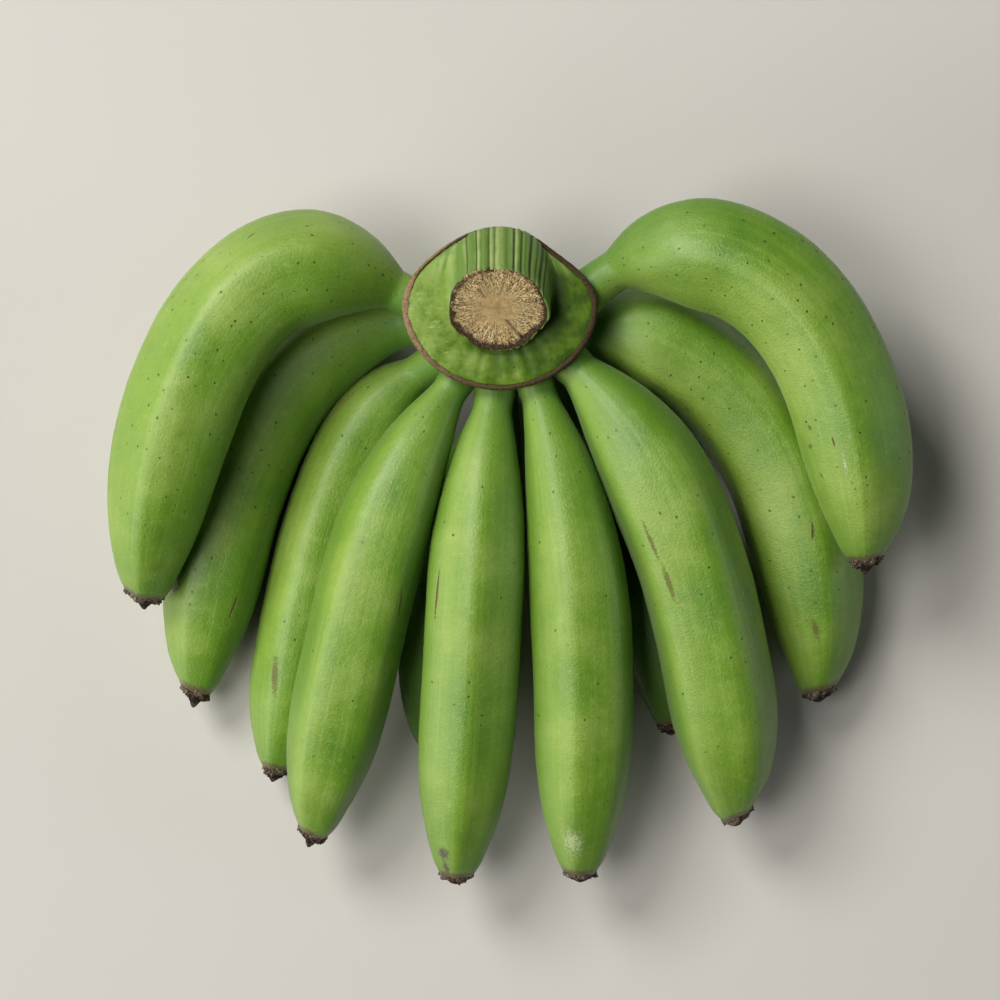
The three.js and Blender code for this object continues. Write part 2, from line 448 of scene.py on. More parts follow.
@dataclass(frozen=True)
class PeelFinish:
    """Satin green peel with streaks, specks and its own marks, and painted light and shade across each
    finger.

    The spacings of specks and dots are in millimetres and the depth of the relief in metres.
    """

    # Deep green for the clouds, streaks and grain, also the painted shade
    deep_and_shade: Colour = srgb(70, 122, 2)
    middle: Colour = srgb(112, 152, 24)
    # Light green for the clouds and streaks, also the painted light on the left side
    light: Colour = srgb(154, 180, 80)
    neck: Colour = srgb(98, 140, 16)
    # Painted highlight along the ridges
    ridge: Colour = srgb(150, 182, 76)
    speck: Colour = srgb(46, 54, 10)
    stipple: Colour = srgb(164, 190, 104)
    crust: Colour = srgb(96, 78, 50)
    speck_spacing: float = 5.0
    dot_spacing: float = 1.9
    relief: float = 0.0004

    def make(self, finger: "Finger", seed: int) -> bpy.types.Material:
        """The material of one finger.

        Args:
            finger: The finger that wears it.
            seed: Sets its streaks and specks apart from the others'.

        Returns:
            The material.
        """
        sh = Shader("peel_" + finger.name)
        across, up, share = sh.split(sh.attribute("skin"))
        place = sh.place()
        skin = Skin(across, up, share, place)
        turn = across.math("ARCTAN2", up)
        stipple = sh.noise(place, 1000, 3, 0.7)
        clouds = sh.noise(place, 36, 3, 0.55)
        along = sh.vector(across * 7 + seed * 3.1, up * 7, share * 1.6)
        streaks = sh.noise(along, 1.3, 4, 0.62)
        colour = self._green(sh, skin, clouds, streaks, stipple)
        # Painted light and shade over the green
        colour = self._paint_light_and_shade(sh, finger, skin, turn, colour)
        flat = sh.vector(turn * (finger.thick / 2) + seed * 40.0, share * finger.length(), 0.0)
        uneven = (stipple - 0.5) * 0.12
        distance, own = sh.cells(flat, 1 / self.speck_spacing)
        chosen = own.step(0.95 - 0.5 * finger.specks, 1.0 - 0.1 * finger.specks) * share.step(0.97, 0.8)
        speck = (distance + uneven - own * 0.03).step(0.08, 0.03) * chosen
        colour = sh.mix(speck * 0.85, colour, self.speck)
        fine_distance, fine_own = sh.cells(flat, 1 / self.dot_spacing)
        dot = (fine_distance + uneven).step(0.2, 0.09) * fine_own.step(0.7, 0.85)
        colour = sh.mix(dot * 0.2, colour, self.speck)
        rough = clouds * 0.16 + share.step(0.3, 0.06) * 0.16 + 0.42
        height = streaks * 0.2
        for mark in finger.marks:
            stain = mark.tone.value
            covered = self._cover(sh, finger, skin, mark)
            colour = sh.mix(covered * stain.cover, colour, stain.colour)
            rough = rough + covered * 0.25
            height = height - covered * 0.25
        torn = sh.noise(place, 700, 2, 0.6)
        crust = (share + torn * 0.02).step(0.994, 1.004)
        colour = sh.mix(crust * 0.85, colour, self.crust)
        pores = sh.noise(place, 1500, 2, 0.6)
        height = height + pores * 0.3 + stipple * 0.5 - speck * 0.3
        return sh.surface(
            Base_Color=colour,
            Roughness=rough,
            Specular_IOR_Level=0.8,
            Coat_Weight=share.step(0.36, 0.12) * 0.1 + 0.06,
            Coat_Roughness=0.28,
            Sheen_Weight=0.14,
            Sheen_Roughness=0.4,
            Sheen_Tint=SHEEN_TINT,
            Normal=sh.bump(height, self.relief),
        )

    def _green(self, sh: Shader, skin: Skin, clouds: Socket, streaks: Socket, stipple: Socket) -> Socket:
        """The green of the peel with its clouds, long streaks, mottle and stipple.

        Args:
            sh: The material.
            skin: The point on the finger.
            clouds: Broad noise.
            streaks: Noise drawn out along the finger.
            stipple: Fine noise.

        Returns:
            The colour.
        """
        colour = sh.ramp(clouds, [(0.2, self.deep_and_shade), (0.5, self.middle), (0.8, self.light)])
        colour = sh.mix(streaks.step(0.48, 0.68) * 0.26, colour, self.light)
        colour = sh.mix(streaks.step(0.5, 0.3) * 0.26, colour, self.deep_and_shade)
        mottle = sh.noise(skin.place, 330, 4, 0.7)
        colour = sh.mix(mottle.step(0.53, 0.7) * 0.25, colour, self.stipple)
        colour = sh.mix(mottle.step(0.47, 0.3) * 0.25, colour, self.deep_and_shade)
        colour = sh.mix(stipple.step(0.56, 0.72) * 0.3, colour, self.stipple)
        return sh.mix(stipple.step(0.44, 0.28) * 0.3, colour, self.deep_and_shade)

    def _paint_light_and_shade(self, sh: Shader, finger: "Finger", skin: Skin, turn: Socket, colour: Socket) -> Socket:
        """Painted light and shade: a painted highlight on the ridges, painted light on the left side,
        painted shade from the crown at the base of the neck, on the right side and at the left edge, and
        deeper green over the neck and towards the end.

        Args:
            sh: The material.
            finger: The finger that wears it.
            skin: The point on the finger.
            turn: Its turn from the top, in radians.
            colour: The green so far.

        Returns:
            The colour.
        """
        across, share = skin.across, skin.share
        roll = (share - 0.5) * math.radians(finger.twist) + math.radians(finger.roll)
        wave = ((turn - roll) * finger.angles).math("COSINE")
        ridge = (wave * 0.5 + 0.5).larger(0.0) ** 10
        # Strength of the painted shade at the left edge, more on the front row
        edge = 0.5 if finger.row is Row.FRONT else 0.1
        layers = [
            # Painted highlight on the ridges
            (ridge * (finger.ridge_height * 2), self.ridge),
            (share.step(0.34, 0.1) * 0.4, self.neck),
            # Painted shade from the crown at the base of the neck
            (share.step(0.13, 0.05) * finger.neck_painted_shade, self.deep_and_shade),
            # Painted shade on the right side
            (across.step(-0.1, 0.9) * finger.shade, self.deep_and_shade),
            # Painted light on the left side
            (across.step(0.1, -0.8) * 0.35, self.light),
            # Painted shade at the left edge
            (across.step(-0.6, -0.98) * edge, self.deep_and_shade),
            (share.step(0.88, 0.985) * 0.25, self.deep_and_shade),
        ]
        for cover, tint in layers:
            colour = sh.mix(cover, colour, tint)
        return colour

    @staticmethod
    def _cover(sh: Shader, finger: "Finger", skin: Skin, mark: Mark) -> Socket:
        """Where a mark lies.

        Args:
            sh: The material.
            finger: The finger that it lies on.
            skin: The point on the finger.
            mark: The mark.

        Returns:
            How much of the mark shows, from 0 to 1.
        """
        middle = (mark.start[0] + mark.end[0]) / 2
        bearing = math.radians((mark.start[1] + mark.end[1]) / 2)
        radius = float(finger.radius(np.array([middle]))[0])
        run = (mark.end[0] - mark.start[0]) * finger.length()
        drift = math.radians(mark.end[1] - mark.start[1]) * radius
        half = max(math.hypot(run, drift) / 2, mark.width / 2)
        slant = math.atan2(drift, run)
        side = (skin.across * math.cos(bearing) - skin.up * math.sin(bearing)) * radius
        front = skin.across * math.sin(bearing) + skin.up * math.cos(bearing)
        down = (skin.share - middle) * finger.length()
        length = (down * math.cos(slant) + side * math.sin(slant)) / half
        width = (side * math.cos(slant) - down * math.sin(slant)) / (mark.width / 2)
        spread = (length * length + width * width).math("SQRT")
        stain = mark.tone.value
        ragged = (sh.noise(skin.place, 620, 3, 0.65) - 0.5) * (1.6 * stain.edge + 0.5)
        ragged = ragged + (sh.noise(skin.place, 1900, 2, 0.7) - 0.5) * stain.ragged
        inside = (spread + ragged).step(1.0 + 0.3 * stain.edge, 0.9 - 0.5 * stain.edge)
        return inside * front.step(0.0, 0.1)


# Painted shade: a darker copy of the peel for the two fingers behind, which look deeper green in the photo
# than the light alone makes them
SHADED_PEEL = PeelFinish(
    deep_and_shade=srgb(52, 98, 2),
    middle=srgb(74, 122, 4),
    light=srgb(92, 134, 18),
    neck=srgb(66, 112, 4),
    ridge=srgb(96, 138, 26),
    stipple=srgb(102, 140, 34),
)


@dataclass(frozen=True)
class CrownSkinFinish:
    """Dull green skin: pale ribs on the stub, a mottled collar and a smooth flank, with painted shade in
    the grooves, between the collar's folds, over the collar's right side and in its corner by the stub.
    """

    rib: Colour = srgb(150, 172, 100)
    rib_shade: Colour = srgb(100, 132, 54)
    # Painted shade in the stub's grooves
    groove: Colour = srgb(58, 80, 30)
    # Deep collar green, also the painted shade between the collar's folds
    collar_deep: Colour = srgb(58, 88, 8)
    collar: Colour = srgb(92, 126, 24)
    collar_pale: Colour = srgb(128, 154, 66)
    flank: Colour = srgb(112, 154, 40)
    graze: Colour = srgb(166, 186, 124)
    # Dark specks, also the painted shade in the corner by the stub
    speck: Colour = srgb(40, 66, 18)

    def make(self) -> bpy.types.Material:
        """The material, which reads how deep in a groove a point is and which part it lies on."""
        sh = Shader("crown_skin")
        groove, stub, collar = sh.split(sh.attribute("crown"))
        place = sh.place()
        clouds = sh.noise(place, 120, 4, 0.6)
        fine = sh.noise(place, 520, 3, 0.6)
        # Tone across the stub, the way across, and the corner by the stub that gets painted shade
        shade, side, corner = sh.split(sh.attribute("tint"))
        ribs = sh.mix((shade * 0.9 + clouds).step(0.2, 0.8), self.rib_shade, self.rib)
        # Painted shade in the stub's grooves
        ribs = sh.mix(groove.step(0.3, 0.85) * 0.9, ribs, self.groove)
        # Painted shade: the collar darker towards its right side
        tone = clouds - side * 0.14 + (fine - 0.5) * 0.3
        mottled = sh.ramp(tone, [(0.28, self.collar_deep), (0.5, self.collar), (0.7, self.collar_pale)])
        # Painted shade in the grooves and between the collar's folds
        mottled = sh.mix(groove.step(0.3, 1.0) * 0.5, mottled, self.collar_deep)
        graze = sh.noise(self._stretch(sh, place), 1.0, 3, 0.7).step(0.58, 0.7) * side.step(-0.3, -0.8)
        mottled = sh.mix(graze * 0.6, mottled, self.graze)
        # Painted shade in the corner between the collar and the stub, stronger on the right
        mottled = sh.mix(corner * side.step(-0.9, 0.5) * 0.7, mottled, self.speck)
        colour = sh.mix(collar, sh.mix(clouds.step(0.3, 0.7) * 0.5, self.flank, self.collar), mottled)
        colour = sh.mix(stub, colour, ribs)
        distance, own = sh.cells(place, 240, "3D")
        speck = distance.step(0.13, 0.06) * own.step(0.6, 0.7)
        colour = sh.mix(speck * 0.6, colour, self.speck)
        height = clouds * 0.5 + fine * 0.35 - speck * 0.3
        return sh.surface(
            Base_Color=colour,
            Roughness=fine * 0.15 + 0.52,
            Specular_IOR_Level=0.3,
            Sheen_Weight=0.05,
            Sheen_Roughness=0.4,
            Sheen_Tint=SHEEN_TINT,
            Normal=sh.bump(height, 0.0005),
        )

    @staticmethod
    def _stretch(sh: Shader, place: Socket) -> Socket:
        """The point, drawn out sideways for short grazes."""
        x, y, z = sh.split(place)
        return sh.vector(x * 260, y * 800, z * 500)


@dataclass(frozen=True)
class CorkFinish:
    """The corky brown scar round the crown's rim: tan under painted light on its left side, painted shade
    on its right side, and darker along its inner edge.
    """

    # Tan under painted light, on the left side
    painted_lit_tan: Colour = srgb(164, 138, 104)
    brown: Colour = srgb(98, 82, 54)
    # Dark cork, also the painted shade on the right side
    dark_and_shade: Colour = srgb(56, 40, 28)

    def make(self) -> bpy.types.Material:
        """The material, which reads the way round the rim and in to the collar."""
        sh = Shader("crown_scar")
        side, inner, _ = sh.split(sh.attribute("rim"))
        place = sh.place()
        flakes = sh.noise(place, 900, 5, 0.75)
        broad = sh.noise(place, 160, 3, 0.6)
        # Painted light on the left side
        painted_light_side = ((broad - 0.5) * 0.8 - side).step(0.3, 1.0)
        # Painted shade on the right side
        colour = sh.mix(side.step(-0.2, 0.6) * 0.45, self.brown, self.dark_and_shade)
        colour = sh.mix(painted_light_side, colour, self.painted_lit_tan)
        colour = sh.mix(flakes.step(0.52, 0.34) * 0.75, colour, self.dark_and_shade)
        colour = sh.mix(inner.step(0.35, 0.9) * 0.8, colour, self.dark_and_shade)
        return sh.surface(
            Base_Color=colour,
            Roughness=flakes * 0.2 + 0.7,
            Specular_IOR_Level=0.25,
            Normal=sh.bump(flakes, 0.0009),
        )


@dataclass(frozen=True)
class CutFinish:
    """A dried cut across the stalk: tan fibres out from the middle, dark pores and a brown edge."""

    name: str
    heart: Colour
    fibre: Colour
    between: Colour
    pore: Colour
    edge: Colour

    def make(self) -> bpy.types.Material:
        """The material, which reads the place on the cut face, its middle at 0 and its edge at 1."""
        sh = Shader(self.name)
        x, y, out = sh.split(sh.attribute("cut"))
        place = sh.place()
        reach = out.larger(0.02)
        across, up = x / reach, y / reach
        strokes = sh.noise(sh.vector(across * 30, up * 30, out * 15), 1.0, 3, 0.6)
        dashes = sh.noise(sh.vector(across * 34 + 9.0, up * 34, out * 20), 1.0, 2, 0.6)
        spokes = sh.noise(sh.vector(across * 9, up * 9, out * 1.6), 1.0, 3, 0.6)
        soft = sh.noise(sh.vector(x * 7, y * 7, 3.0), 1.0, 4, 0.65)
        outer = out.step(0.2, 0.62)
        colour = sh.mix(soft.step(0.3, 0.7), self.between, self.heart)
        pale = (strokes + (spokes - 0.5) * 0.5).step(0.46, 0.6) * (outer * 0.8 + 0.08)
        colour = sh.mix(pale * 0.85, colour, self.fibre)
        pores = (dashes + (out - 0.6) * 0.12).step(0.53, 0.62) * outer
        colour = sh.mix(pores * 0.8, colour, self.pore)
        burnt = (out + (sh.noise(place, 420, 3, 0.6) - 0.5) * 0.34 - y * 0.08).step(0.84, 0.965)
        colour = sh.mix(burnt * 0.92, colour, self.edge)
        height = strokes * 0.5 - pores * 0.6 + soft * 0.3
        return sh.surface(
            Base_Color=colour,
            Roughness=strokes * 0.12 + 0.78,
            Specular_IOR_Level=0.2,
            Normal=sh.bump(height, 0.0009),
        )


FRESH_CUT = CutFinish(
    "cut_fibres",
    heart=srgb(224, 194, 140),
    fibre=srgb(240, 222, 172),
    between=srgb(190, 156, 104),
    pore=srgb(92, 66, 42),
    edge=srgb(62, 42, 34),
)
DRY_CUT = CutFinish(
    "cut_dry",
    heart=srgb(150, 116, 76),
    fibre=srgb(176, 148, 104),
    between=srgb(128, 98, 62),
    pore=srgb(70, 50, 32),
    edge=srgb(50, 36, 26),
)


@dataclass(frozen=True)
class DryFinish:
    """Crumpled dry flower tissue: grey-brown, pale along its torn edge, with painted shade in its hollows
    and folds.
    """

    torn: Colour = srgb(188, 172, 150)
    brown: Colour = srgb(96, 76, 58)
    grey: Colour = srgb(108, 98, 90)
    # Dark tissue, also the painted shade in the hollows
    dark_and_shade: Colour = srgb(40, 32, 28)

    def make(self) -> bpy.types.Material:
        """The material, which reads the way from the torn edge to the style and how deep a fold is, for the
        painted shade.
        """
        sh = Shader("dry_flower")
        way, fold_shade, _ = sh.split(sh.attribute("dry"))
        place = sh.place()
        flakes = sh.noise(place, 1300, 4, 0.75)
        broad = sh.noise(place, 420, 3, 0.6)
        colour = sh.mix(broad.step(0.38, 0.62), self.brown, self.grey)
        colour = sh.mix((flakes - way * 0.12).step(0.5, 0.62) * 0.9, colour, self.torn)
        # Painted shade in the hollows and folds, broken up by flakes
        colour = sh.mix((fold_shade * 0.3 - flakes).step(-0.46, -0.34) * 0.9, colour, self.dark_and_shade)
        return sh.surface(
            Base_Color=colour,
            Roughness=flakes * 0.2 + 0.72,
            Specular_IOR_Level=0.2,
            Normal=sh.bump(flakes, 0.0012),
        )


# The fingers


@dataclass(frozen=True)
class Layer:
    """How a row of fingers leaves the crown.

    A root stands at a height in millimetres and a share of the rim's radii out. The two heights bend the
    centrelines, in millimetres or in diameters of the finger.
    """

    root_height: float
    reach: float
    heights: tuple[float, float]
    in_diameters: bool


class Row(Enum):
    """The rows of fingers: on top in front, on top at the sides, below them, and behind."""

    FRONT = Layer(45.0, 0.72, (51.0, 52.0), in_diameters=False)
    OUTER = Layer(45.0, 0.72, (51.0, 65.0), in_diameters=False)
    LOWER = Layer(33.0, 0.70, (0.50, 0.52), in_diameters=True)
    BACK = Layer(19.0, 0.60, (0.50, 0.49), in_diameters=True)

    def heights(self, thick: float) -> tuple[float, float]:
        """The two heights, in millimetres, for a finger that is so thick."""
        first, second = self.value.heights
        scale = thick if self.value.in_diameters else 1.0
        return first * scale, second * scale


@dataclass
class Finger:
    """One banana: an angled tube along a bent centreline, in millimetres from the crown's axis.

    Bearings are seen from above, and 270 runs towards the tips. Launch and arrive are the bearing and the
    length of the centreline's two handles. Slim and blunt are the shares of the thickness that the neck and
    the end have. Neck, shoulder, belly and round_from are shares of the length. Angles counts the ridges,
    and roll and twist turn them, in degrees. Nub is the length of the dry style, cup the depth of the cup
    below it, and slant the slope of the end. Specks, shade and neck_painted_shade, from 0 to 1, say how
    many specks the peel has, how strong the painted shade on its right side is, and how strong the painted
    shade from the crown at the base of its neck is.
    """

    name: str
    row: Row
    root: float
    launch: tuple[float, float]
    tip: tuple[float, float, float]
    arrive: tuple[float, float]
    thick: float
    slim: float
    neck: float
    shoulder: float
    belly: float
    blunt: float
    angles: int
    roll: float
    nub: float
    slant: float = 0.0
    twist: float = 0.0
    specks: float = 0.08
    # Painted shade on the right side and from the crown at the base of the neck
    shade: float = 0.5
    neck_painted_shade: float = 0.7
    marks: list[Mark] = field(default_factory=list)
    line_points: int = 601
    sides: int = 96
    rings: int = 120
    remnant_sides: int = 72
    remnant_rings: int = 56
    angle_swell: float = 0.032
    ridge_height: float = 0.006
    ridge_sharpness: float = 5.0
    cup: float = 3.5
    round_from: float = 0.972

    def __post_init__(self) -> None:
        """Works out the centreline once."""
        first, second = self.row.heights(self.thick)
        layer = self.row.value
        root = math.radians(self.root)
        start = np.array([
            math.cos(root) * RIM[0] * layer.reach,
            math.sin(root) * RIM[1] * layer.reach,
            layer.root_height,
        ])
        tip = np.array(self.tip)
        leaving = start + self._way(self.launch)
        leaving[2] = first
        arriving = tip - self._way(self.arrive)
        arriving[2] = second
        t = np.linspace(0, 1, self.line_points)[:, None]
        left = 1 - t
        self.line = left**3 * start + 3 * left**2 * t * leaving + 3 * left * t**2 * arriving + t**3 * tip
        steps = np.linalg.norm(np.diff(self.line, axis=0), axis=1)
        self.gone = np.concatenate([[0], np.cumsum(steps)])

    @staticmethod
    def _way(polar: tuple[float, float]) -> Array:
        """A step on the level from its bearing in degrees and its length."""
        bearing = math.radians(polar[0])
        return np.array([math.cos(bearing), math.sin(bearing), 0]) * polar[1]

    def length(self) -> float:
        """The centreline's length in millimetres."""
        return float(self.gone[-1])

    def at(self, share: Array) -> tuple[Array, Array, Array, Array]:
        """The finger's frame at shares of its length.

        Args:
            share: The shares.

        Returns:
            Its centres, headings, sides and tops.
        """
        slope = np.gradient(self.line, self.gone, axis=0)
        way = share * self.gone[-1]
        centre, heading = (
            np.column_stack([np.interp(way, self.gone, rows[:, k]) for k in range(3)])
            for rows in (self.line, slope)
        )
        heading /= np.linalg.norm(heading, axis=1)[:, None]
        side = np.column_stack([-heading[:, 1], heading[:, 0], np.zeros(len(heading))])
        side /= np.linalg.norm(side, axis=1)[:, None]
        return centre, heading, side, np.cross(heading, side)

    def radius(self, share: Array) -> Array:
        """Its mean radius at shares of its length, in millimetres."""
        rise = np.clip((share - self.neck) / (self.shoulder - self.neck), 0, 1)
        fall = np.clip((share - self.belly) / (1 - self.belly), 0, 1)
        swell = self.slim + (1 - self.slim) * (1 - (1 - rise**1.1) ** 2.2)
        rounded = 1 - 0.1 * np.clip((share - self.round_from) / (1 - self.round_from), 0, 1) ** 2
        return self.thick / 2 * swell * (1 - (1 - self.blunt) * fall**2.5) * rounded

    def section(self, turn: Array, share: Array) -> Array:
        """How far the skin stands out, as a share of the radius.

        Args:
            turn: The turn from the top.
            share: The share of the length; the neck is round.

        Returns:
            The share, about 1.
        """
        wave = np.cos(self.angles * (turn - np.radians(self.roll + self.twist * (share - 0.5))))
        ridge = self.ridge_height * (np.exp(self.ridge_sharpness * (wave - 1)) - 1)
        return 1 + (self.angle_swell * wave + ridge) * (0.1 + 0.9 * smooth(share, self.neck, self.shoulder))

    def build(self, middle: Array, seed: int) -> bpy.types.Object:
        """Models the finger.

        Args:
            middle: The crown's axis in the frame, in metres.
            seed: Sets its unevenness apart from the others'.

        Returns:
            The piece.
        """
        piece = tube("banana_" + self.name, self.sides, self.rings)
        raw = corners(piece)
        turn = np.arctan2(raw[:, 0], raw[:, 1])
        t = np.clip(raw[:, 2] + 0.5, 0, 1)
        # Rings lie closer together towards both ends
        share = t - 0.09 * np.sin(2 * np.pi * t)
        centre, heading, side, top = self.at(share)
        around = np.sin(turn)[:, None] * side + np.cos(turn)[:, None] * top
        radius = self.radius(share)
        skin = centre + around * radius[:, None]
        lumps = 0.3 * grain(skin, 0.045, seed) + 0.12 * grain(skin, 0.16, seed + 50)
        ends = smooth(share, 0.0, 0.2) * smooth(share, 1.0, 0.9)
        flare = 1 + 0.1 * smooth(share, 0.1, 0.03)
        out = radius * self.section(turn, share) * flare + lumps * (0.3 + 0.7 * ends)
        slope = self.slant * np.sin(turn) * out * smooth(share, 0.93, 1.0)
        points = centre + around * out[:, None] + heading * slope[:, None]
        shape(piece, points, middle)
        mark_mesh(piece, "skin", np.sin(turn), np.cos(turn), share)
        return piece

    def build_remnant(self, middle: Array, seed: int) -> bpy.types.Object:
        """Models the dry flower remnant on the finger's end.

        Args:
            middle: The crown's axis in the frame, in metres.
            seed: Sets its folds apart from the others'.

        Returns:
            The piece.
        """
        piece = tube("flower_" + self.name, self.remnant_sides, self.remnant_rings)
        raw = corners(piece)
        turn = np.arctan2(raw[:, 0], raw[:, 1])
        t = np.clip(raw[:, 2] + 0.5, 0, 1)
        radius = float(self.radius(np.array([1.0]))[0])
        # From inside the finger's end round the torn cup and out along the style
        ways = [0.0, 0.06, 0.14, 0.26, 0.4, 0.55, 0.7, 0.85, 0.95, 1.0]
        rises = [-1.0, 0.0, 0.25, 0.45, 0.65, 0.85, 1.0, 1.0, 1.0, 1.0]
        points_out = [0, 0, 0, 0, 0, 0.05, 0.2, 0.65, 0.95, 1.0]
        spans = [0.92, 1.02, 0.98, 0.88, 0.7, 0.5, 0.32, 0.19, 0.09, 0.02]
        out = np.interp(t, ways, rises) * self.cup + np.interp(t, ways, points_out) * self.nub
        span = np.interp(t, ways, spans) * radius
        ring = np.column_stack([np.sin(turn) * 1.6, np.cos(turn) * 1.6, t * 2.2])
        jag = grain(ring, 1.7, seed) + 0.6 * grain(ring, 4.3, seed + 9)
        crumple = grain(ring, 6.5, seed + 23)
        lobes = np.cos(3 * turn + seed) * 0.6 + np.cos(5 * turn + 2 * seed) * 0.4
        edge = smooth(t, 0.04, 0.16) * smooth(t, 0.66, 0.4)
        style = smooth(t, 0.6, 0.75)
        out = out + edge * (1.0 * jag + 0.5 * lobes + 0.45 * crumple)
        span = span * (1 + edge * (0.12 * jag + 0.1 * crumple) + style * 0.3 * jag)
        centre, heading, side, top = self.at(np.array([1.0]))
        lean = style * (0.5 * self.nub) * (t - 0.6)
        out = out + self.slant * np.sin(turn) * span
        points = (
            centre
            + heading * out[:, None]
            + (np.sin(turn) * span)[:, None] * side
            + (np.cos(turn) * span)[:, None] * top
            + (lean * math.cos(seed))[:, None] * side
        )
        shape(piece, points, middle)
        hollow = smooth(t, 0.3, 0.5) * smooth(t, 0.85, 0.65)
        # Where painted shade darkens the hollows and folds
        fold_shade = np.clip(0.6 * hollow + 0.8 * np.clip(-jag - 0.6 * crumple, 0, 1), 0, 1)
        mark_mesh(piece, "dry", t, fold_shade, lobes)
        return piece


# The crown


@dataclass(frozen=True)
class Station:
    """One level of the crown's outline, in millimetres from its axis."""

    y: float
    z: float
    rx: float
    ry: float
    lean: float = 0.0
    ribs: float = 0.0
    folds: float = 0.0
    trim: float = 0.0
    square: float = 0.0

    def row(self) -> list[float]:
        """Its values in a list."""
        return [self.y, self.z, self.rx, self.ry, self.lean, self.ribs, self.folds, self.trim, self.square]


def run_through(rows: Array, steps: Array) -> Array:
    """Values on a smooth line through rows.

    Args:
        rows: One row a station.
        steps: Where to read it, in stations.

    Returns:
        One row a step.
    """
    last = len(rows) - 1
    low = np.clip(np.floor(steps).astype(int), 0, last - 1)
    t = (steps - low)[:, None]
    before, start = rows[np.maximum(low - 1, 0)], rows[low]
    end, after = rows[low + 1], rows[np.minimum(low + 2, last)]
    first, second = (end - before) * 0.5, (after - start) * 0.5
    return (
        (2 * t**3 - 3 * t**2 + 1) * start
        + (t**3 - 2 * t**2 + t) * first
        + (3 * t**2 - 2 * t**3) * end
        + (t**3 - t**2) * second
    )


